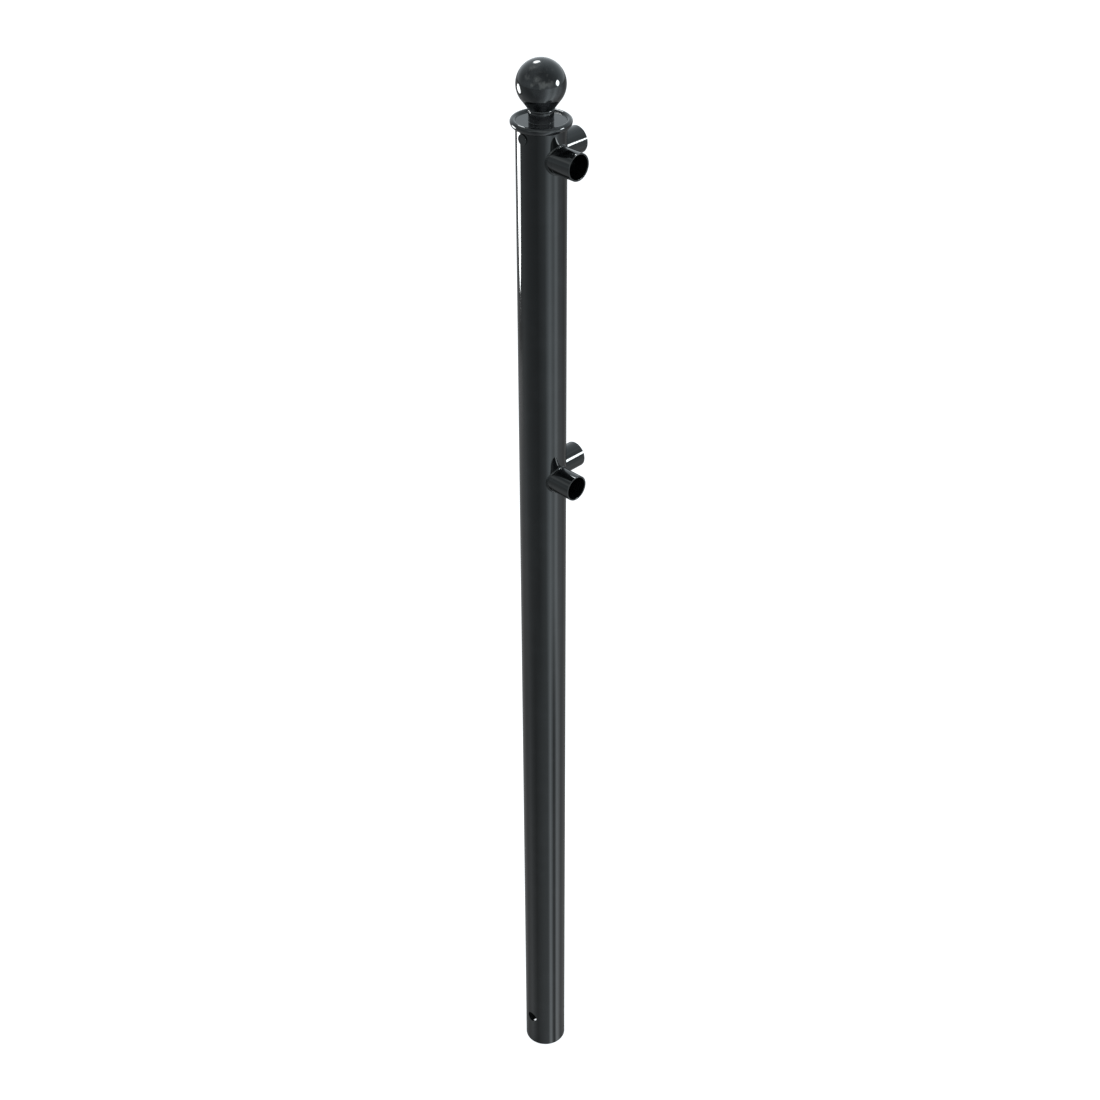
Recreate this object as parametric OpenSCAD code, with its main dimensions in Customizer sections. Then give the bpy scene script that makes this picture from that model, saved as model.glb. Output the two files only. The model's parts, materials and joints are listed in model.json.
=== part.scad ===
// Railing corner post: a round steel tube with two pairs of rail spigots set at a
// right angle, and a turned cap that carries a ball.
// The foot is a plain open tube end, drilled for an anchor bar and set in concrete.
// Origin: centre of the foot's end face. +Z runs up the post, the first pair of
// spigots points along +X and the second pair along +Y. Millimetres throughout.

/* [Post tube] */
// Outer diameter of the post tube
post_d = 60.3; // [48:0.1:90]
// Wall thickness of the post tube
post_wall = 2.9; // [2:0.1:5]
// Length of the post tube, from the foot to the cap's seat
post_len = 1517; // [900:1:2400]

/* [Anchor hole] */
// Diameter of the hole that takes the anchor bar
anchor_d = 17; // [8:0.5:22]
// Height of the anchor hole above the foot
anchor_z = 54; // [30:1:200]

/* [Rail spigots] */
// Outer diameter of a spigot's free end, turned to fit inside a rail tube
spigot_d = 33.7; // [20:0.1:42]
// Height of the shoulder at the root, which stops the rail tube clear of the weld
shoulder = 0.25; // [0.2:0.05:1]
// Distance from the weld to the shoulder
shoulder_gap = 0.5; // [0.2:0.1:3]
// Wall thickness of a spigot at its free end
spigot_wall = 2; // [1.5:0.1:4]
// Distance that a spigot stands out from the post's surface
spigot_reach = 30; // [20:1:60]
// Depth from the top of the tube to the upper spigots' axis
upper_drop = 33; // [30:1:200]
// Height between the upper and the lower spigots' axes
rail_spacing = 432; // [150:1:700]
// Leg of the weld around each spigot
weld_leg = 2; // [1:0.1:4]

/* [Cap] */
// Outer diameter of the cap's rim
rim_d = 72.6; // [64:0.1:110]
// Radius of the rounded lip along the rim's upper edge
lip_r = 3.5; // [1.5:0.1:5]
// Height of the cap's dish above the middle of the rim
dish_rise = 0.9; // [0:0.1:1.4]
// Wall thickness of the skirt that plugs into the tube
skirt_wall = 6; // [4:0.5:9]
// Depth of the skirt below the cap's seat
skirt_depth = 26; // [20:1:60]
// Radial gap between the skirt and the tube
skirt_gap = 0.15; // [0.05:0.05:0.5]

/* [Retaining pin] */
// Diameter of the pin's shank, a drive fit in the skirt
pin_d = 8; // [5:0.5:10]
// Diameter of the pin's round head
pin_head_d = 13; // [11:0.5:16]
// Height of the pin's head above the tube's surface
pin_head_t = 1.6; // [1:0.1:4]
// Distance from the pin's head up to the cap's seat
pin_head_drop = 1.5; // [0.5:0.1:4]
// Radial gap between the pin's shank and the hole in the tube
pin_gap = 0.2; // [0.1:0.05:0.5]

/* [Neck and ball] */
// Diameter of the neck
neck_d = 30; // [20:0.5:40]
// Height of the neck, from the dish to the ball's foot
neck_h = 15.65; // [10:0.05:60]
// Radius of the section of the bead around the neck
bead_r = 1.8; // [1:0.1:3]
// Distance that the bead stands out from the neck
bead_out = 0.9; // [0.4:0.1:1]
// Distance from the ball's foot down to the middle of the bead
bead_drop = 1.7; // [1.6:0.1:6]
// Diameter of the ball
ball_d = 58.6; // [45:0.1:80]
// Diameter of the ball's flat foot
ball_foot_d = 32.4; // [32:0.1:36]
// Angle between the post's axis and the taper that runs from the ball to its foot
ball_taper = 36; // [30:1:45]
// Diameter of the studs that join the flange, the neck and the ball
stud_d = 12; // [6:0.5:16]
// Depth of the stud's hole in the ball
stud_depth = 18; // [10:1:30]

/* [Hidden] */
$fn = 128;

// Length that a cutting shape runs past the surface that it cuts
overcut = 1;
paint = "#2e3032";

// Directions of the spigots and of the drilled holes, turned about the post's axis
toward_x = 0;
toward_y = 90;
toward_minus_y = -90;

post_r = post_d / 2;
bore_r = post_r - post_wall;
spigot_r = spigot_d / 2;
root_r = spigot_r + shoulder;
shoulder_at = post_r + weld_leg + shoulder_gap;
spigot_end = post_r + spigot_reach;
upper_z = post_len - upper_drop;
lower_z = upper_z - rail_spacing;

// The rim overhangs the tube, and its underside is a quarter round of that overhang.
rim_r = rim_d / 2;
overhang = rim_r - post_r;
rim_mid_z = post_len + overhang;
lip_mid_r = rim_r - lip_r;
dish_z = rim_mid_z + dish_rise;
skirt_r = bore_r - skirt_gap;

pin_z = post_len - pin_head_drop - pin_head_d / 2;
pin_root_r = skirt_r - skirt_wall;

// A taper leaves the round of the ball smoothly and narrows to its flat foot.
neck_r = neck_d / 2;
neck_top_z = dish_z + neck_h;
ball_r = ball_d / 2;
foot_r = ball_foot_d / 2;
taper_r = ball_r * cos(ball_taper);
taper_z = neck_top_z + (taper_r - foot_r) / tan(ball_taper);
ball_z = taper_z + ball_r * sin(ball_taper);
bead_z = neck_top_z - bead_drop;

// Turns a shape that points up so that it points out of the post at a height.
module out_of_post(direction, z) {
  translate([0, 0, z]) rotate([0, 0, direction]) rotate([0, 90, 0]) children();
}

// The round of the post, as it lies across a shape that points out of it.
module post_round(radius, width) {
  rotate([0, 90, 0]) cylinder(r = radius, h = width, center = true);
}

// Drawn tube, open at both ends, with the anchor bar's hole through both walls and
// the retaining pin's hole through one.
module post_tube() color(paint) {
  difference() {
    cylinder(r = post_r, h = post_len);
    translate([0, 0, -overcut]) cylinder(r = bore_r, h = post_len + 2 * overcut);
    out_of_post(toward_y, anchor_z)
      cylinder(d = anchor_d, h = post_d + 2 * overcut, center = true);
    out_of_post(toward_minus_y, pin_z) cylinder(r = pin_d / 2 + pin_gap, h = post_r + overcut);
  }
}

// The quarter of the post that a spigot and its weld have to themselves.
module post_quarter(width) {
  rotate([0, 90, 0]) linear_extrude(height = width, center = true)
    polygon([[0, 0], [-width, -width], [-width, width]]);
}

// Short open tube, cut at its root to sit on the round of the post, and turned down
// from a shoulder outwards.
module spigot() color(paint) {
  difference() {
    union() {
      cylinder(r = spigot_r, h = spigot_end);
      cylinder(r = root_r, h = shoulder_at);
    }
    cylinder(r = spigot_r - spigot_wall, h = spigot_end + overcut);
    post_round(post_r, 2 * root_r + 2 * overcut);
  }
}

// Weld around a spigot's root, one leg wide on the post and one leg high on the spigot.
// Where two welds would meet, they are mitred.
module spigot_weld() color(paint) {
  difference() {
    intersection() {
      cylinder(r = root_r + weld_leg, h = post_r + weld_leg);
      post_round(post_r + weld_leg, 2 * (root_r + weld_leg + overcut));
      post_quarter(post_d + 2 * weld_leg);
    }
    cylinder(r = root_r, h = spigot_end);
    post_round(post_r, 2 * (root_r + weld_leg + overcut));
  }
}

// Section of the turned cap: a plate with a rounded lip and a quarter round below it,
// and a skirt that plugs into the tube.
module cap_section() {
  translate([0, post_len]) square([post_r, overhang]);
  translate([0, rim_mid_z]) square([lip_mid_r, dish_rise]);
  translate([pin_root_r, post_len - skirt_depth]) square([skirt_wall, skirt_depth]);
  intersection() {
    translate([post_r, rim_mid_z]) circle(r = overhang);
    translate([post_r, post_len]) square([overhang, overhang]);
  }
  intersection() {
    translate([lip_mid_r, rim_mid_z]) circle(r = lip_r);
    translate([lip_mid_r - lip_r, rim_mid_z]) square([2 * lip_r, lip_r]);
  }
}

// Turned cap, bored in the middle for the neck's stud and in the skirt for the pin.
module cap_flange() color(paint) {
  difference() {
    rotate_extrude() cap_section();
    translate([0, 0, post_len - overcut])
      cylinder(d = stud_d, h = dish_z - post_len + 2 * overcut);
    out_of_post(toward_minus_y, pin_z) cylinder(d = pin_d, h = post_r);
  }
}

// Round-headed pin driven through the tube into the skirt, its head bedded on the tube.
module cap_pin() color(paint) {
  out_of_post(toward_minus_y, pin_z) {
    translate([0, 0, pin_root_r]) cylinder(d = pin_d, h = post_r - pin_root_r);
    difference() {
      cylinder(d = pin_head_d, h = post_r + pin_head_t);
      post_round(post_r, pin_head_d + 2 * overcut);
    }
  }
}

// Turned neck with a stud at each end, one through the flange and one in the ball.
module neck() color(paint) {
  translate([0, 0, dish_z]) cylinder(r = neck_r, h = neck_h);
  translate([0, 0, post_len]) cylinder(d = stud_d, h = neck_top_z + stud_depth - post_len);
}

// Rounded bead around the neck, just under the ball.
module neck_bead() color(paint) {
  rotate_extrude() intersection() {
    translate([neck_r + bead_out - bead_r, bead_z]) circle(r = bead_r);
    translate([neck_r, bead_z - bead_r]) square([bead_out, 2 * bead_r]);
  }
}

// Section of the ball, down to its flat foot.
module ball_section() {
  intersection() {
    translate([0, ball_z]) circle(r = ball_r);
    translate([0, taper_z]) square([ball_r, ball_d]);
  }
  polygon([[0, neck_top_z], [foot_r, neck_top_z], [taper_r, taper_z], [0, taper_z]]);
}

// Solid ball, tapered to its foot, with a blind hole for the neck's stud.
module ball() color(paint) {
  difference() {
    rotate_extrude() ball_section();
    translate([0, 0, neck_top_z - overcut]) cylinder(d = stud_d, h = stud_depth + overcut);
  }
}

post_tube();
out_of_post(toward_x, upper_z) spigot();  // upper_spigot_x
out_of_post(toward_y, upper_z) spigot();  // upper_spigot_y
out_of_post(toward_x, lower_z) spigot();  // lower_spigot_x
out_of_post(toward_y, lower_z) spigot();  // lower_spigot_y
out_of_post(toward_x, upper_z) spigot_weld();  // upper_weld_x
out_of_post(toward_y, upper_z) spigot_weld();  // upper_weld_y
out_of_post(toward_x, lower_z) spigot_weld();  // lower_weld_x
out_of_post(toward_y, lower_z) spigot_weld();  // lower_weld_y
cap_flange();
cap_pin();
neck();
neck_bead();
ball();
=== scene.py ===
import json
import math
import bpy
from mathutils import Matrix, Vector


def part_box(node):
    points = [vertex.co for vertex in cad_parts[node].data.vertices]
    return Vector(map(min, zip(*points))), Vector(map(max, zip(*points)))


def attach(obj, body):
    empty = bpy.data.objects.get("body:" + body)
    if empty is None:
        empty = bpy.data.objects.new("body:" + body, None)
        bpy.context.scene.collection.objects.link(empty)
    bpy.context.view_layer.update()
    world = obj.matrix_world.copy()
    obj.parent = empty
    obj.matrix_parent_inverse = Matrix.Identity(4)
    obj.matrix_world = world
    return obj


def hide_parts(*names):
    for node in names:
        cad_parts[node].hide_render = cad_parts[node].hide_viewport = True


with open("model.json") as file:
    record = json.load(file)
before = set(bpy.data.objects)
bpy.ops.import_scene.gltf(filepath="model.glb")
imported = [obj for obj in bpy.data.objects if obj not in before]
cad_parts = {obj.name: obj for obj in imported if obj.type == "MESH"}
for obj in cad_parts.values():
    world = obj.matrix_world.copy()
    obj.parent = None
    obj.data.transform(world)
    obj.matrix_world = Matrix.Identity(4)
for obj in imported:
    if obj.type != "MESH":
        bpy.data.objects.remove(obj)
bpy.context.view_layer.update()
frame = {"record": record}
scene = bpy.context.scene
scene.view_settings.view_transform = "Standard"

# ---------------------------------------------------------------------------------------
# Post tube. Drawn steel tube, cut square, deburred and painted gloss black inside and out.
# It is open at both ends. The foot is drilled through for the bar that anchors it in
# concrete, and the top is drilled on one side for the pin that keeps the cap.

MM = 0.001
TURN = 2 * math.pi
# Points are one point if they are the same to this part of a metre.
SAME_POINT = 1e7


class Skin:
    """A smooth shell, collected as rows of (point, normal) and joined where points meet."""

    def __init__(self):
        self.points = []
        self.normals = []
        self.index = {}
        self.faces = []

    def vertex(self, point, normal):
        """The number of the vertex at this point. The first normal given there is kept."""
        key = tuple(round(c * SAME_POINT) for c in point)
        if key not in self.index:
            self.index[key] = len(self.points)
            self.points.append(tuple(point))
            self.normals.append(tuple(Vector(normal).normalized()))
        return self.index[key]

    def sweep(self, rows, closed):
        """Joins each row to the next, and the last place in a row to its first if closed."""
        rows = [[self.vertex(p, n) for p, n in row] for row in rows]
        for low, high in zip(rows, rows[1:]):
            count = len(low)
            for i in range(count if closed else count - 1):
                j = (i + 1) % count
                corners = []
                for v in (low[i], low[j], high[j], high[i]):
                    if v not in corners:
                        corners.append(v)
                if len(corners) > 2:
                    self.faces.append(corners)

    def piece(self, name, material, exact=True):
        """The piece that this shell makes, shaded by its own normals if they are exact."""
        mesh = bpy.data.meshes.new(name)
        mesh.from_pydata(self.points, [], self.faces)
        mesh.update()
        mesh.shade_smooth()
        if exact:
            mesh.normals_split_custom_set_from_vertices(self.normals)
        mesh.materials.append(material)
        piece = bpy.data.objects.new(name, mesh)
        scene.collection.objects.link(piece)
        return piece


def arc(across, up, radius, start, end, steps=4):
    """Section points round a centre. A hollow curve has a negative radius."""
    made = []
    for k in range(steps + 1):
        a = math.radians(start + (end - start) * k / steps)
        c, s = math.cos(a), math.sin(a)
        made.append((across + radius * c, up + radius * s, c, s))
    return made


def turned(skin, section, place, count):
    """Turns a section of (radius, height, normal) about an axis that place() lays out."""
    rows = []
    for r, z, nr, nz in section:
        row = []
        for k in range(count):
            a = TURN * k / count
            row.append(place(r, a, z, nr, nz))
        rows.append(row)
    skin.sweep(rows, True)


def upright(r, a, z, nr, nz):
    """A place on a piece that is turned about the post's axis."""
    c, s = math.cos(a), math.sin(a)
    return (r * c, r * s, z), (nr * c, nr * s, nz)


def maths(tree, operation, *values):
    """The output of a maths node, each of whose inputs is a socket or a number."""
    node = tree.nodes.new("ShaderNodeMath")
    node.operation = operation
    for socket, value in zip(node.inputs, values):
        if isinstance(value, (int, float)):
            socket.default_value = value
        else:
            tree.links.new(value, socket)
    return node.outputs["Value"]


def blend(tree, amount, under, over):
    """A colour laid over another by an amount. The upper one is a socket or a colour."""
    mix = tree.nodes.new("ShaderNodeMix")
    mix.data_type = "RGBA"
    tree.links.new(amount, mix.inputs["Factor"])
    tree.links.new(under, mix.inputs[6])
    if isinstance(over, tuple):
        mix.inputs[7].default_value = over
    else:
        tree.links.new(over, mix.inputs[7])
    return mix.outputs[2]


# Marks in the paint: the grain of each one per metre, and the levels of it that show
HAZE_SCALE = 38.0
HAZE_LEVELS = (0.46, 0.68)
DUST_SCALE = 1400.0
DUST_LEVELS = (0.70, 0.78)
SPRAY_SCALE = 260.0
SPRAY_LEVELS = (0.3, 0.7)
SWELL_SCALE = 55.0
# How far up a face looks where dust starts to lie and where it lies in full
DUST_SLOPE = (0.25, 0.95)
# Share of the paint's roughness where the spray is smoothest and where it is roughest
SPRAY_GLOSS = (0.9, 1.25)
# Height of the swell, as a share of the orange peel's
SWELL_SHARE = 1.5
# Roughness that full haze or dust adds
DULLING = 0.16
PAINT_IOR = 1.45
PAINT_SHEEN = (0.88, 0.97, 1.0, 1)


def paint_film():
    """Sprayed and baked gloss film: orange peel, thin haze and settled dust."""
    group = bpy.data.node_groups.new("paint_film", "ShaderNodeTree")
    for name, kind, way, value in (
        ("Paint", "NodeSocketColor", "INPUT", (0.002, 0.002, 0.002, 1)),
        ("Haze", "NodeSocketColor", "INPUT", (0.01, 0.011, 0.012, 1)),
        ("Haze amount", "NodeSocketFloat", "INPUT", 0.3),
        ("Gloss", "NodeSocketFloat", "INPUT", 0.05),
        ("Peel scale", "NodeSocketFloat", "INPUT", 220.0),
        ("Dust", "NodeSocketFloat", "INPUT", 0.2),
        ("Color", "NodeSocketColor", "OUTPUT", None),
        ("Roughness", "NodeSocketFloat", "OUTPUT", None),
        ("Height", "NodeSocketFloat", "OUTPUT", None),
    ):
        socket = group.interface.new_socket(name, in_out=way, socket_type=kind)
        if value is not None:
            socket.default_value = value
    add = group.nodes.new
    link = group.links.new
    given = add("NodeGroupInput")
    put = add("NodeGroupOutput")
    place = add("ShaderNodeTexCoord")
    shape = add("ShaderNodeNewGeometry")

    def noise(scale, detail, roughness):
        node = add("ShaderNodeTexNoise")
        node.inputs["Detail"].default_value = detail
        node.inputs["Roughness"].default_value = roughness
        link(place.outputs["Object"], node.inputs["Vector"])
        if isinstance(scale, float):
            node.inputs["Scale"].default_value = scale
        else:
            link(scale, node.inputs["Scale"])
        return node.outputs["Fac"]

    def spread(value, levels, to=(0.0, 1.0)):
        node = add("ShaderNodeMapRange")
        for socket, number in zip(("From Min", "From Max", "To Min", "To Max"), levels + to):
            node.inputs[socket].default_value = number
        link(value, node.inputs["Value"])
        return node.outputs["Result"]

    # Haze lies in soft patches a few centimetres wide.
    patches = spread(noise(HAZE_SCALE, detail=3.0, roughness=0.55), HAZE_LEVELS)
    haze = maths(group, "MULTIPLY", patches, given.outputs["Haze amount"])
    # Dust settles as fine specks on what faces up.
    axis = add("ShaderNodeSeparateXYZ")
    link(shape.outputs["Normal"], axis.inputs["Vector"])
    faces_up = spread(axis.outputs["Z"], DUST_SLOPE)
    specks = spread(noise(DUST_SCALE, detail=1.0, roughness=0.5), DUST_LEVELS)
    settled = maths(group, "MULTIPLY", specks, faces_up)
    dust = maths(group, "MULTIPLY", settled, given.outputs["Dust"])
    cover = maths(group, "MAXIMUM", haze, dust)
    colour = blend(group, cover, given.outputs["Paint"], given.outputs["Haze"])
    link(colour, put.inputs["Color"])
    # Haze and dust dull the film a little, and so does fine unevenness of the spray.
    fine = spread(noise(SPRAY_SCALE, detail=2.0, roughness=0.5), SPRAY_LEVELS, SPRAY_GLOSS)
    gloss = maths(group, "MULTIPLY", given.outputs["Gloss"], fine)
    dulled = maths(group, "MULTIPLY", cover, DULLING)
    link(maths(group, "ADD", gloss, dulled), put.inputs["Roughness"])
    # Orange peel: a fine grain on a slower swell.
    peel = noise(given.outputs["Peel scale"], detail=1.0, roughness=0.4)
    swell = maths(group, "MULTIPLY", noise(SWELL_SCALE, detail=1.0, roughness=0.4), SWELL_SHARE)
    link(maths(group, "ADD", peel, swell), put.inputs["Height"])
    return group


film = paint_film()


def gloss_paint(name, values, peel_depth):
    """Gloss paint over steel, with this film's values and this depth of orange peel."""
    made = bpy.data.materials.new(name)
    made.use_nodes = True
    tree = made.node_tree
    shader = tree.nodes["Principled BSDF"]
    shader.inputs["IOR"].default_value = PAINT_IOR
    shader.inputs["Specular Tint"].default_value = PAINT_SHEEN
    coat = tree.nodes.new("ShaderNodeGroup")
    coat.node_tree = film
    for socket, value in values.items():
        coat.inputs[socket].default_value = value
    bump = tree.nodes.new("ShaderNodeBump")
    bump.inputs["Strength"].default_value = 1.0
    bump.inputs["Distance"].default_value = peel_depth
    tree.links.new(coat.outputs["Color"], shader.inputs["Base Color"])
    tree.links.new(coat.outputs["Roughness"], shader.inputs["Roughness"])
    tree.links.new(coat.outputs["Height"], bump.inputs["Height"])
    tree.links.new(bump.outputs["Normal"], shader.inputs["Normal"])
    return made


BLACK = (0.0012, 0.0014, 0.0016, 1)
PALE_HAZE = (0.008, 0.009, 0.010, 1)

post_paint = gloss_paint("post_paint", {
    "Paint": BLACK,
    "Haze": PALE_HAZE,
    "Haze amount": 0.25,
    "Gloss": 0.045,
    "Peel scale": 260.0,
    "Dust": 0.3,
}, 0.012 * MM)

mounts = {m["name"]: m for m in frame["record"]["mounts"]}
TUBE_WALL = 2.9 * MM
TUBE_EDGE = 0.4 * MM
TUBE_SIDES = 192
PLAIN_ROW = 70 * MM
tube_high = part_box("post_tube")[1]
tube_r = tube_high.x
tube_top = tube_high.z
bore_r = tube_r - TUBE_WALL

# Faces around a drilled hole are laid as a patch that reaches so many columns and rows each
# way from its middle, and a row is this high.
ANCHOR_REACH = 13
ANCHOR_ROW = 1.05 * MM
PIN_REACH = 7
PIN_ROW = 0.95 * MM
# Rings of a patch, by the share of the way from the hole to the patch's own edge
PATCH_SHARES = (1, 0.7, 0.45, 0.25, 0.1)
# Leans of the hole's rounded edge, in degrees
EDGE_LEANS = (0, 30, 60, 90)
anchor_r = mounts["anchor_hole"]["dims"]["r_mm"] * MM
anchor_z = mounts["anchor_hole"]["pos_m"][2]
pin_low, pin_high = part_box("cap_pin")
pin_z = (pin_low.z + pin_high.z) / 2
PIN_HOLE_R = 4.2 * MM
FRONT = TUBE_SIDES * 3 // 4
BACK = TUBE_SIDES // 4
holes = (
    {"side": FRONT, "z": anchor_z, "r": anchor_r, "reach": ANCHOR_REACH, "row": ANCHOR_ROW},
    {"side": BACK, "z": anchor_z, "r": anchor_r, "reach": ANCHOR_REACH, "row": ANCHOR_ROW},
    {"side": FRONT, "z": pin_z, "r": PIN_HOLE_R, "reach": PIN_REACH, "row": PIN_ROW},
)


def hole_rows(hole):
    """Heights of the rows of faces around a hole."""
    reach = hole["reach"]
    return [hole["z"] + k * hole["row"] for k in range(-reach, reach + 1)]


def wall_heights():
    """Heights of the tube's rows: close together at the holes and far apart between."""
    stops = [TUBE_EDGE] + hole_rows(holes[0]) + hole_rows(holes[2]) + [tube_top - TUBE_EDGE]
    made = [stops[0]]
    for z in stops[1:]:
        steps = max(1, round((z - made[-1]) / PLAIN_ROW))
        start = made[-1]
        made += [start + (z - start) * k / steps for k in range(1, steps + 1)]
    return made


def in_patch(column, z):
    """Whether the face that starts at this column and height belongs to a hole's patch."""
    for hole in holes:
        reach = hole["reach"]
        across = (column - hole["side"] + TUBE_SIDES // 2) % TUBE_SIDES - TUBE_SIDES // 2
        if -reach <= across < reach and abs(z + hole["row"] / 2 - hole["z"]) < reach * hole["row"]:
            return True
    return False


def wall_point(radius, angle, z, out):
    """A place on the tube's wall. out is 1 on the outside and -1 in the bore."""
    c, s = math.cos(angle), math.sin(angle)
    return (radius * c, radius * s, z), (out * c, out * s, 0)


def tube_wall_rows(skin, radius, out, heights):
    """The tube's wall at this radius, with its hole patches left open."""
    rows = [[wall_point(radius, TURN * i / TUBE_SIDES, z, out) for i in range(TUBE_SIDES)]
            for z in heights]
    for k in range(len(heights) - 1):
        low = min(heights[k], heights[k + 1])
        for i in range(TUBE_SIDES):
            if not in_patch(i, low):
                j = (i + 1) % TUBE_SIDES
                skin.sweep([[rows[k][i], rows[k][j]], [rows[k + 1][i], rows[k + 1][j]]], False)


def hole_patch(skin, hole):
    """From the outer wall into the hole, through it, and out over the inner wall."""
    reach, row, z0 = hole["reach"], hole["row"], hole["z"]
    steps = range(-reach, reach)
    loop = [(k, -reach) for k in steps] + [(reach, k) for k in steps]
    loop += [(-k, reach) for k in steps] + [(-reach, -k) for k in steps]
    middle = TURN * hole["side"] / TUBE_SIDES
    turns = [math.atan2(b, a) for a, b in loop]

    def ring(radius, out, share):
        """A ring of the wall, from the hole's edge at 0 to the patch's own edge at 1."""
        made = []
        rim = hole["r"] + TUBE_EDGE
        for (a, b), t in zip(loop, turns):
            near = middle + math.asin(rim * math.cos(t) / radius)
            far = middle + TURN * a / TUBE_SIDES
            z = z0 + (1 - share) * rim * math.sin(t) + share * b * row
            made.append(wall_point(radius, near + (far - near) * share, z, out))
        return made

    def edge(radius, out, lean):
        """A ring of the hole's rounded edge, from the wall to the hole's side."""
        made = []
        for t in turns:
            rim = hole["r"] + TUBE_EDGE * (1 - math.sin(lean))
            level = radius - out * TUBE_EDGE * (1 - math.cos(lean))
            angle = middle + math.asin(rim * math.cos(t) / level)
            point, normal = wall_point(level, angle, z0 + rim * math.sin(t), out)
            inward = Vector((math.sin(middle) * math.cos(t), -math.cos(middle) * math.cos(t),
                             -math.sin(t)))
            made.append((point, Vector(normal) * math.cos(lean) + inward * math.sin(lean)))
        return made

    leans = [math.radians(a) for a in EDGE_LEANS]
    rows = [ring(tube_r, 1, share) for share in PATCH_SHARES]
    rows += [edge(tube_r, 1, lean) for lean in leans]
    rows += [edge(bore_r, -1, lean) for lean in reversed(leans)]
    rows += [ring(bore_r, -1, share) for share in reversed(PATCH_SHARES)]
    skin.sweep(rows, True)


post_skin = Skin()
levels = wall_heights()
tube_wall_rows(post_skin, tube_r, 1, levels)
tube_wall_rows(post_skin, bore_r, -1, levels[::-1])
top_edge = arc(tube_r - TUBE_EDGE, tube_top - TUBE_EDGE, TUBE_EDGE, 0, 90)
top_edge += arc(bore_r + TUBE_EDGE, tube_top - TUBE_EDGE, TUBE_EDGE, 90, 180)
foot_edge = arc(bore_r + TUBE_EDGE, TUBE_EDGE, TUBE_EDGE, 180, 270)
foot_edge += arc(tube_r - TUBE_EDGE, TUBE_EDGE, TUBE_EDGE, 270, 360)
turned(post_skin, top_edge, upright, TUBE_SIDES)
turned(post_skin, foot_edge, upright, TUBE_SIDES)
for hole in holes:
    hole_patch(post_skin, hole)
post = post_skin.piece("post", post_paint)
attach(post, "root")
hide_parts("post_tube")


# ---------------------------------------------------------------------------------------
# Rail spigots. Four short steel tubes that the rail tubes slide over, two at each rail height
# and square to each other. Each is coped to the round of the post, and turned down a hair
# from a shoulder outwards so that the rail tube stops clear of the weld.

SPIGOT_WALL = 2 * MM
SPIGOT_EDGE = 0.45 * MM
SHOULDER_EDGE = 0.1 * MM
SHOULDER_STEPS = 2
SPIGOT_SIDES = 128
# Which way a piece leaves the post, in degrees from the x axis
out_of_post = {"x": 0, "y": 90}


def outward(direction, z):
    """Lays out a piece turned about a line that leaves the post at this height."""
    turn = Matrix.Rotation(math.radians(out_of_post[direction]), 3, "Z")

    def place(r, a, s, nr, ns):
        c, n = math.cos(a), math.sin(a)
        point = turn @ Vector((s, r * c, r * n)) + Vector((0, 0, z))
        return tuple(point), turn @ Vector((ns, nr * c, nr * n))
    return place


def coped_row(r, across, place, count, nr):
    """A row where a round of radius r lands on a round of radius across about the post."""
    row = []
    for k in range(count):
        a = TURN * k / count
        s = math.sqrt(across * across - (r * math.cos(a)) ** 2)
        row.append(place(r, a, s, nr, 0))
    return row


def section_rows(section, place, count):
    """Rows of a section of (radius, distance, normal), turned about the piece's own axis."""
    return [[place(r, TURN * k / count, s, nr, ns) for k in range(count)]
            for r, s, nr, ns in section]


for height in ("upper", "lower"):
    for direction in ("x", "y"):
        node = f"{height}_spigot_{direction}"
        low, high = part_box(node)
        mount = mounts[node + "_end"]
        spigot_z = (low.z + high.z) / 2
        spigot_end = getattr(high, direction)
        spigot_r = mount["dims"]["r_mm"] * MM
        root_r = (high.z - low.z) / 2
        shoulder_at = spigot_end - mount["dims"]["length_mm"] * MM
        inner_r = spigot_r - SPIGOT_WALL
        place = outward(direction, spigot_z)
        section = arc(root_r - SHOULDER_EDGE, shoulder_at - SHOULDER_EDGE,
                      SHOULDER_EDGE, 0, 90, SHOULDER_STEPS)
        section += arc(spigot_r + SHOULDER_EDGE, shoulder_at + SHOULDER_EDGE,
                       -SHOULDER_EDGE, 90, 0, SHOULDER_STEPS)
        section += arc(spigot_r - SPIGOT_EDGE, spigot_end - SPIGOT_EDGE, SPIGOT_EDGE, 0, 90)
        section += arc(inner_r + SPIGOT_EDGE, spigot_end - SPIGOT_EDGE, SPIGOT_EDGE, 90, 180)
        outer_root = coped_row(root_r, tube_r, place, SPIGOT_SIDES, 1)
        inner_root = coped_row(inner_r, tube_r, place, SPIGOT_SIDES, -1)
        shell = section_rows(section, place, SPIGOT_SIDES)
        skin = Skin()
        skin.sweep([outer_root] + shell + [inner_root, outer_root], True)
        spigot = skin.piece(f"{height}_rail_spigot_{direction}", post_paint)
        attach(spigot, "root")
        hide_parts(node)


# ---------------------------------------------------------------------------------------
# Welds. A fine fillet of steel run all round each spigot's root, laid in small overlapping
# pools that still show as ripples under the paint.

WELD_LEG = 1.5 * MM
# Height of the fillet's crown, and of the ripples on it, as shares of its leg
WELD_CROWN = 0.16
WELD_RIPPLE = 0.07
POOL_PITCH = 2.1 * MM
POOL_STEPS = 8
# How far a pool's sides trail behind its middle, as a share of a pool
POOL_LAG = 0.45
# Share of the swell that goes outwards, and along the spigot
POOL_LEAN = 0.7
WELD_ACROSS = 8
WELD_SINK = 0.15 * MM

weld_paint = gloss_paint("weld_paint", {
    "Paint": BLACK,
    "Haze": PALE_HAZE,
    "Haze amount": 0.4,
    "Gloss": 0.09,
    "Peel scale": 500.0,
    "Dust": 0.5,
}, 0.02 * MM)

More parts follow.
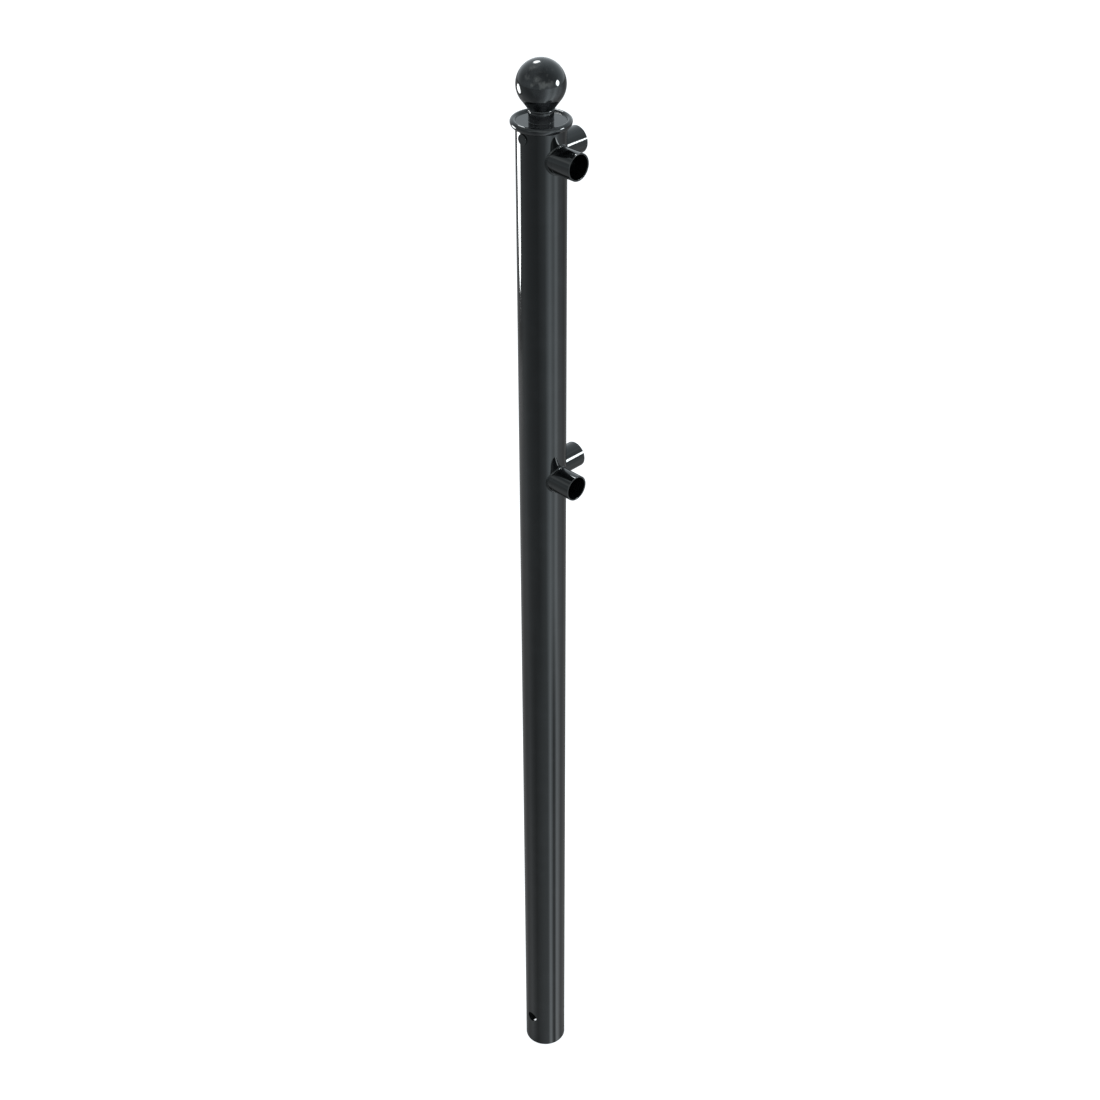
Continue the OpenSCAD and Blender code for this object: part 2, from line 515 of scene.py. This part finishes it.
for height in ("upper", "lower"):
    for direction in ("x", "y"):
        low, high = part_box(f"{height}_spigot_{direction}")
        root_r = (high.z - low.z) / 2
        place = outward(direction, (low.z + high.z) / 2)
        pools = round(TURN * (root_r + WELD_LEG / 2) / POOL_PITCH)
        count = pools * POOL_STEPS
        rows = []
        for m in range(WELD_ACROSS + 1):
            v = m / WELD_ACROSS
            row = []
            for k in range(count):
                a = TURN * k / count
                y_toe = (root_r + WELD_LEG) * math.cos(a)
                y_root = root_r * math.cos(a)
                s_toe = math.sqrt(tube_r ** 2 - y_toe ** 2)
                s_root = math.sqrt(tube_r ** 2 - y_root ** 2) + WELD_LEG
                phase = k / POOL_STEPS + POOL_LAG * (2 * v - 1) ** 2
                pool = 0.5 - 0.5 * math.cos(TURN * phase)
                swell = WELD_LEG * (WELD_CROWN + WELD_RIPPLE * pool) * 4 * v * (1 - v)
                r = root_r + WELD_LEG * (1 - v) + swell * POOL_LEAN
                s = s_toe + (s_root - s_toe) * v + swell * POOL_LEAN
                row.append(place(r, a, s, POOL_LEAN, POOL_LEAN))
            rows.append(row)
        hidden = coped_row(root_r - WELD_SINK, tube_r - WELD_SINK, place, count, -1)
        skin = Skin()
        skin.sweep(rows + [hidden, rows[0]], True)
        weld = skin.piece(f"{height}_weld_run_{direction}", weld_paint, exact=False)
        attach(weld, "root")
        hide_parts(f"{height}_weld_{direction}")


# ---------------------------------------------------------------------------------------
# Cap. One turned steel casting: a dished plate with a rounded lip, a quarter round below it
# that overhangs the tube, and a skirt that plugs into the tube's end.

CAP_SIDES = 256
LIP_R = 3.5 * MM
DISH_RISE = 0.9 * MM
DISH_FILLET = 0.8 * MM
SKIRT_WALL = 6 * MM
SKIRT_GAP = 0.15 * MM
STUD_R = 6 * MM
CAP_EDGE = 0.2 * MM
CAP_EDGE_STEPS = 2
UNDERSIDE_STEPS = 16
LIP_STEPS = 28
DISH_STEPS = 8

cap_paint = gloss_paint("cap_paint", {
    "Paint": BLACK,
    "Haze": (0.030, 0.033, 0.036, 1),
    "Haze amount": 0.5,
    "Gloss": 0.045,
    "Peel scale": 260.0,
    "Dust": 0.3,
}, 0.010 * MM)

flange_low, flange_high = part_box("cap_flange")
rim_r = flange_high.x
overhang = rim_r - tube_r
rim_z = tube_top + overhang
dish_z = rim_z + DISH_RISE
lip_mid = rim_r - LIP_R
skirt_r = bore_r - SKIRT_GAP
skirt_bore = skirt_r - SKIRT_WALL
skirt_foot = flange_low.z
fillet_lean = math.asin((DISH_RISE + DISH_FILLET) / (LIP_R + DISH_FILLET))
fillet_mid = lip_mid - (LIP_R + DISH_FILLET) * math.cos(fillet_lean)
inner_turn = 180 - math.degrees(fillet_lean)
section = arc(tube_r, rim_z, overhang, -90, 0, UNDERSIDE_STEPS)
section += arc(lip_mid, rim_z, LIP_R, 0, inner_turn, LIP_STEPS)
section += arc(fillet_mid, dish_z + DISH_FILLET, -DISH_FILLET, inner_turn, 90, DISH_STEPS)
# The edges of the stud's hole, of the skirt's bore and foot, and of its corner at the tube
for across, up, radius, start, end in (
    (STUD_R + CAP_EDGE, dish_z - CAP_EDGE, CAP_EDGE, 90, 180),
    (STUD_R + CAP_EDGE, tube_top + CAP_EDGE, CAP_EDGE, 180, 270),
    (skirt_bore - CAP_EDGE, tube_top - CAP_EDGE, -CAP_EDGE, 270, 180),
    (skirt_bore + CAP_EDGE, skirt_foot + CAP_EDGE, CAP_EDGE, 180, 270),
    (skirt_r - CAP_EDGE, skirt_foot + CAP_EDGE, CAP_EDGE, 270, 360),
    (skirt_r + CAP_EDGE, tube_top - CAP_EDGE, -CAP_EDGE, 0, -90),
):
    section += arc(across, up, radius, start, end, CAP_EDGE_STEPS)
section.append(section[0])
skin = Skin()
turned(skin, section, upright, CAP_SIDES)
cap = skin.piece("cap", cap_paint)
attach(cap, "root")
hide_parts("cap_flange")


# ---------------------------------------------------------------------------------------
# Retaining pin. A round-headed steel drive pin goes through the tube into the cap's skirt.
# Its head beds on the round of the tube, and its face is slightly crowned.

PIN_SIDES = 96
PIN_EDGE = 0.4 * MM
PIN_CROWN = 0.25 * MM
PIN_SHANK_R = 4 * MM
HEAD_SINK = 0.05 * MM
CROWN_STEPS = 10
out_of_post["front"] = -90

head_r = (pin_high.x - pin_low.x) / 2
head_face = -pin_low.y
face_r = head_r - PIN_EDGE
crown_r = (face_r ** 2 + PIN_CROWN ** 2) / (2 * PIN_CROWN)
crown_lean = math.degrees(math.asin(face_r / crown_r))
place = outward("front", pin_z)
section = arc(face_r, head_face - PIN_CROWN - PIN_EDGE, PIN_EDGE, 0, 90 - crown_lean)
section += arc(0, head_face - crown_r, crown_r, 90 - crown_lean, 90, CROWN_STEPS)
shank = [(0, skirt_bore, 0, -1), (PIN_SHANK_R, skirt_bore, 1, 0), (PIN_SHANK_R, bore_r, 1, 0)]
under = coped_row(PIN_SHANK_R, tube_r - HEAD_SINK, place, PIN_SIDES, 1)
bed = coped_row(head_r, tube_r - HEAD_SINK, place, PIN_SIDES, 1)
skin = Skin()
below = section_rows(shank, place, PIN_SIDES)
head = section_rows(section, place, PIN_SIDES)
skin.sweep(below + [under, bed] + head, True)
pin = skin.piece("retaining_pin", cap_paint)
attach(pin, "root")
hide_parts("cap_pin")


# ---------------------------------------------------------------------------------------
# Neck and bead. A short turned steel neck stands in the dish, held by a stud at each end.
# A fine rounded bead runs round it just under the ball.

NECK_SIDES = 192
NECK_FILLET = 0.6 * MM
FILLET_STEPS = 6
BEAD_R = 1.8 * MM
BEAD_STEPS = 16

neck_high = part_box("neck")[1]
neck_r = neck_high.x
ball_low, ball_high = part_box("ball")
neck_top = ball_low.z
section = [(0, tube_top, 0, -1)]
section += arc(STUD_R - CAP_EDGE, tube_top + CAP_EDGE, CAP_EDGE, -90, 0, CAP_EDGE_STEPS)
section += arc(STUD_R - CAP_EDGE, dish_z - CAP_EDGE, CAP_EDGE, 0, 90, CAP_EDGE_STEPS)
section += [(neck_r + NECK_FILLET, dish_z, 0, 1)]
section += arc(neck_r + NECK_FILLET, dish_z + NECK_FILLET, -NECK_FILLET, 90, 0, FILLET_STEPS)
section += arc(neck_r - CAP_EDGE, neck_top - CAP_EDGE, CAP_EDGE, 0, 90, CAP_EDGE_STEPS)
section += [(0, neck_top, 0, 1)]
skin = Skin()
turned(skin, section, upright, NECK_SIDES)
neck = skin.piece("turned_neck", cap_paint)
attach(neck, "root")
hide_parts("neck")

bead_low, bead_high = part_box("neck_bead")
bead_z = (bead_low.z + bead_high.z) / 2
bead_mid = bead_high.x - BEAD_R
lean = math.degrees(math.acos((neck_r - bead_mid) / BEAD_R))
section = arc(bead_mid, bead_z, BEAD_R, -lean, lean, BEAD_STEPS)
section += [(neck_r - CAP_EDGE, bead_z, -1, 0), section[0]]
skin = Skin()
turned(skin, section, upright, CAP_SIDES)
bead = skin.piece("neck_ring", cap_paint)
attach(bead, "root")
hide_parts("neck_bead")


# ---------------------------------------------------------------------------------------
# Ball. Solid steel, forged and turned, and painted with the cap. A taper runs from the round
# of the ball down to a flat foot, which sits on the neck.

BALL_STEPS = 112
# Angle of the taper from the post's axis, in degrees
BALL_TAPER = 36
BALL_FOOT_R = 16.2 * MM

ball_r = ball_high.x
ball_z = ball_high.z - ball_r
taper = math.radians(BALL_TAPER)
section = [(0, neck_top, 0, -1)]
section += [(BALL_FOOT_R, neck_top, math.cos(taper), -math.sin(taper))]
section += arc(0, ball_z, ball_r, -BALL_TAPER, 90, BALL_STEPS)
skin = Skin()
turned(skin, section, upright, CAP_SIDES)
ball = skin.piece("ball_finial", cap_paint)
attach(ball, "root")
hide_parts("ball")


# ---------------------------------------------------------------------------------------
# Studio. A wide pale floor that the post stands on, a pale surround with soft clouds of
# light, two soft round panels and one soft high light. The gloss paint mirrors the floor,
# so bands of light that run out from the post are laid on it, for mirrored rays alone.

FLOOR_R = 14
FLOOR_SIDES = 96
FLOOR_SHADE = 0.15
FLOOR_ROUGHNESS = 0.9
# What the floor gives off: its tint, and its strength to the camera and as light
FLOOR_TINT = (0.96, 1, 1.03, 1)
FLOOR_WHITE = 0.96
FLOOR_LIGHT = 0.7
# Light that the floor's colour sends back, which is taken off the bands' strengths
FLOOR_BOUNCE = 0.28
# Side of the post that the camera stands on, in degrees from the x axis
CAMERA_TURN = -45
# Bands of light near the post and far from it, as turns from the camera's side in degrees,
# each with a strength
NEAR_BANDS = (
    (-150, 0.36), (-110, 0.38), (-80, 0.64), (-45, 0.42), (-8, 0.78), (20, 0.95), (34, 2.6),
    (52, 0.5), (59, 0.6), (72, 2.0), (100, 0.5), (150, 0.25))
FAR_BANDS = (
    (-150, 0.4), (-120, 0.38), (-90, 0.68), (-60, 0.57), (-20, 0.49), (14, 0.9), (37, 2.5),
    (53, 1.5), (67, 2.4), (84, 1.0), (118, 0.38), (150, 0.35))
# Distances from the post between which the near bands give way to the far ones
BANDS_NEAR = 0.70
BANDS_FAR = 1.35
# Rounds in which the bend of a band is found
BEND_STEPS = 4
HALF_TURN = 180

floor_mesh = bpy.data.meshes.new("floor")
floor_turns = [TURN * k / FLOOR_SIDES for k in range(FLOOR_SIDES)]
rim = [(FLOOR_R * math.cos(turn), FLOOR_R * math.sin(turn), 0) for turn in floor_turns]
floor_mesh.from_pydata(rim, [], [list(range(FLOOR_SIDES))])
floor = bpy.data.objects.new("floor", floor_mesh)
scene.collection.objects.link(floor)


def smooth_step(tree, value, limits):
    """0 below the lower limit and 1 above the upper one, with a smooth rise between."""
    rise = tree.nodes.new("ShaderNodeMapRange")
    rise.interpolation_type = "SMOOTHSTEP"
    rise.inputs["From Min"].default_value = limits[0]
    rise.inputs["From Max"].default_value = limits[1]
    tree.links.new(value, rise.inputs["Value"])
    return rise.outputs["Result"]


def ray_kinds(tree):
    """Three switches: what the camera sees, what gloss and glass show, and what lights."""
    rays = tree.nodes.new("ShaderNodeLightPath").outputs
    mirrored = maths(tree, "MAXIMUM", rays["Is Glossy Ray"], rays["Is Transmission Ray"])
    return rays["Is Camera Ray"], mirrored, rays["Is Diffuse Ray"]


def band_ramp(tree, turn, bands):
    """Strength of the bands of light by the turn from the camera's side."""
    ramp = tree.nodes.new("ShaderNodeValToRGB")
    tree.links.new(turn, ramp.inputs["Fac"])
    back = (bands[0][1] + bands[-1][1]) / 2 - FLOOR_BOUNCE
    for end in ramp.color_ramp.elements:
        end.color = (back, back, back, 1)
    for degrees, strength in bands:
        stop = ramp.color_ramp.elements.new((degrees + HALF_TURN) / (2 * HALF_TURN))
        stop.color = [strength - FLOOR_BOUNCE] * 3 + [1]
    return ramp.outputs["Color"]


floor_paint = bpy.data.materials.new("floor_paint")
floor_paint.use_nodes = True
tree = floor_paint.node_tree
shader = tree.nodes["Principled BSDF"]
shader.inputs["Base Color"].default_value = (FLOOR_SHADE, FLOOR_SHADE, FLOOR_SHADE, 1)
shader.inputs["Roughness"].default_value = FLOOR_ROUGHNESS
shader.inputs["Specular IOR Level"].default_value = 0.0
shader.inputs["Emission Color"].default_value = FLOOR_TINT
place = tree.nodes.new("ShaderNodeTexCoord")
facing = tree.nodes.new("ShaderNodeVectorRotate")
facing.rotation_type = "Z_AXIS"
facing.inputs["Angle"].default_value = -math.radians(CAMERA_TURN)
split = tree.nodes.new("ShaderNodeSeparateXYZ")
length = tree.nodes.new("ShaderNodeVectorMath")
length.operation = "LENGTH"
tree.links.new(place.outputs["Object"], facing.inputs["Vector"])
tree.links.new(facing.outputs["Vector"], split.inputs["Vector"])
tree.links.new(place.outputs["Object"], length.inputs[0])
# Near the post the bands bend with its round, so that they stand straight in its paint.
around = maths(tree, "ARCTAN2", split.outputs["Y"], split.outputs["X"])
nearness = maths(tree, "MINIMUM", maths(tree, "DIVIDE", tube_r, length.outputs["Value"]), 1)
bent = around
for step in range(BEND_STEPS):
    half = maths(tree, "SINE", maths(tree, "MULTIPLY", bent, 0.5))
    bend = maths(tree, "ARCSINE", maths(tree, "MULTIPLY", half, nearness))
    bent = maths(tree, "ADD", around, bend)
turn = maths(tree, "MULTIPLY_ADD", bent, 1 / TURN, 0.5)
bands = tree.nodes.new("ShaderNodeMix")
far = smooth_step(tree, length.outputs["Value"], (BANDS_NEAR, BANDS_FAR))
tree.links.new(far, bands.inputs["Factor"])
tree.links.new(band_ramp(tree, turn, NEAR_BANDS), bands.inputs[2])
tree.links.new(band_ramp(tree, turn, FAR_BANDS), bands.inputs[3])
seen, mirrored, lighting = ray_kinds(tree)
strength = maths(tree, "MULTIPLY", mirrored, bands.outputs[0])
strength = maths(tree, "MULTIPLY_ADD", seen, FLOOR_WHITE, strength)
strength = maths(tree, "MULTIPLY_ADD", lighting, FLOOR_LIGHT, strength)
tree.links.new(strength, shader.inputs["Emission Strength"])
floor_mesh.materials.append(floor_paint)

# Share of the white background that mirrored rays see in the surround
SURROUND_SHARE = 0.3
# The surround's own light, at the horizon, part of the way up and overhead
HORIZON = (0.60, 0.66, 0.69, 1)
PART_WAY = 0.45
PART_WAY_LIGHT = (0.44, 0.47, 0.50, 1)
OVERHEAD = (0.34, 0.36, 0.38, 1)
# A brighter side behind the post, and clouds over the camera's shoulder. Each starts and is
# full at the two cosines of its reach, which are of the angle from its middle.
BRIGHT_TOWARD = (-0.40, 0.80, 0.45)
BRIGHT_REACH = (0.0, 0.95)
BRIGHT_LIGHT = (1.07, 1.2, 1.28, 1)
CLOUD_TOWARD = (0.36, -0.56, 0.75)
CLOUD_REACH = (0.1, 0.75)
CLOUD_LIGHT = (3.0, 3.0, 2.9, 1)
CLOUD_SCALE = 1.7
CLOUD_DETAIL = 4.0
CLOUD_ROUGHNESS = 0.62
CLOUD_LEVELS = (0.47, 0.68)

world = bpy.data.worlds.new("studio")
world.use_nodes = True
scene.world = world
tree = world.node_tree
sky = tree.nodes["Background"]
place = tree.nodes.new("ShaderNodeTexCoord")
split = tree.nodes.new("ShaderNodeSeparateXYZ")
tree.links.new(place.outputs["Generated"], split.inputs["Vector"])
ramp = tree.nodes.new("ShaderNodeValToRGB")
tree.links.new(split.outputs["Z"], ramp.inputs["Fac"])
ramp.color_ramp.elements[0].color = HORIZON
ramp.color_ramp.elements[1].color = OVERHEAD
ramp.color_ramp.elements.new(PART_WAY).color = PART_WAY_LIGHT


def toward(tree, direction, reach):
    """How nearly the surround lies in a direction, within this reach."""
    nearness = tree.nodes.new("ShaderNodeVectorMath")
    nearness.operation = "DOT_PRODUCT"
    nearness.inputs[1].default_value = direction
    tree.links.new(place.outputs["Generated"], nearness.inputs[0])
    return smooth_step(tree, nearness.outputs["Value"], reach)


clouds = tree.nodes.new("ShaderNodeTexNoise")
clouds.inputs["Scale"].default_value = CLOUD_SCALE
clouds.inputs["Detail"].default_value = CLOUD_DETAIL
clouds.inputs["Roughness"].default_value = CLOUD_ROUGHNESS
tree.links.new(place.outputs["Generated"], clouds.inputs["Vector"])
billow = smooth_step(tree, clouds.outputs["Fac"], CLOUD_LEVELS)
cloud = maths(tree, "MULTIPLY", billow, toward(tree, CLOUD_TOWARD, CLOUD_REACH))
bright = toward(tree, BRIGHT_TOWARD, BRIGHT_REACH)
light = blend(tree, bright, ramp.outputs["Color"], BRIGHT_LIGHT)
light = blend(tree, cloud, light, CLOUD_LIGHT)
seen, mirrored, lighting = ray_kinds(tree)
plain = maths(tree, "ADD", seen, lighting)
white = maths(tree, "MULTIPLY_ADD", mirrored, SURROUND_SHARE, plain)
tree.links.new(blend(tree, white, light, (1, 1, 1, 1)), sky.inputs["Color"])
sky.inputs["Strength"].default_value = 1.0


def soft_panel(name, turn, distance, height, aim, width, tall, radiance):
    """A round panel that stands at this turn from the camera's side, and aims at a height."""
    lamp = bpy.data.lights.new(name, "AREA")
    lamp.shape = "ELLIPSE"
    lamp.size = width
    lamp.size_y = tall
    area = math.pi * width * tall / 4
    lamp.energy = radiance * math.pi * area
    holder = bpy.data.objects.new(name, lamp)
    scene.collection.objects.link(holder)
    angle = math.radians(turn + CAMERA_TURN)
    holder.location = (distance * math.cos(angle), distance * math.sin(angle), height)
    facing = Vector((0, 0, aim)) - holder.location
    holder.rotation_euler = facing.to_track_quat("-Z", "Y").to_euler()
    holder.visible_camera = False


soft_panel("left_panel", turn=-119, distance=2.5, height=0.60, aim=1.3,
           width=1.15, tall=0.95, radiance=15)
soft_panel("right_panel", turn=80, distance=2.5, height=1.80, aim=1.3,
           width=0.80, tall=0.85, radiance=36)

HIGH_LIGHT = 1.3
HIGH_LIGHT_SPREAD = 17
HIGH_LIGHT_FROM = Vector((-0.60, 0.34, 0.73))

high_light = bpy.data.lights.new("high_light", "SUN")
high_light.energy = HIGH_LIGHT
high_light.angle = math.radians(HIGH_LIGHT_SPREAD)
holder = bpy.data.objects.new("high_light", high_light)
scene.collection.objects.link(holder)
holder.rotation_euler = HIGH_LIGHT_FROM.to_track_quat("Z", "Y").to_euler()


# ---------------------------------------------------------------------------------------
# Camera. It stands above eye height, two metres out from the post, and looks down at the
# middle of it. Both rails would leave to the right, one towards the camera and one away.

CAMERA_PLACE = (1.4515, -1.4515, 2.3306)
CAMERA_LENS = 61.56
# Angles in degrees: a hair off the post's axis to the right, the dip, and the roll
CAMERA_PAN = 0.2504
CAMERA_DIP = 34.327
CAMERA_ROLL = -0.127

camera_data = bpy.data.cameras.new("camera")
camera_data.lens = CAMERA_LENS
camera = bpy.data.objects.new("camera", camera_data)
scene.collection.objects.link(camera)
pan = Matrix.Rotation(math.radians(CAMERA_TURN + 90 - CAMERA_PAN), 4, "Z")
dip = Matrix.Rotation(math.radians(90 - CAMERA_DIP), 4, "X")
roll = Matrix.Rotation(math.radians(CAMERA_ROLL), 4, "Z")
camera.matrix_world = Matrix.Translation(CAMERA_PLACE) @ pan @ dip @ roll
scene.camera = camera
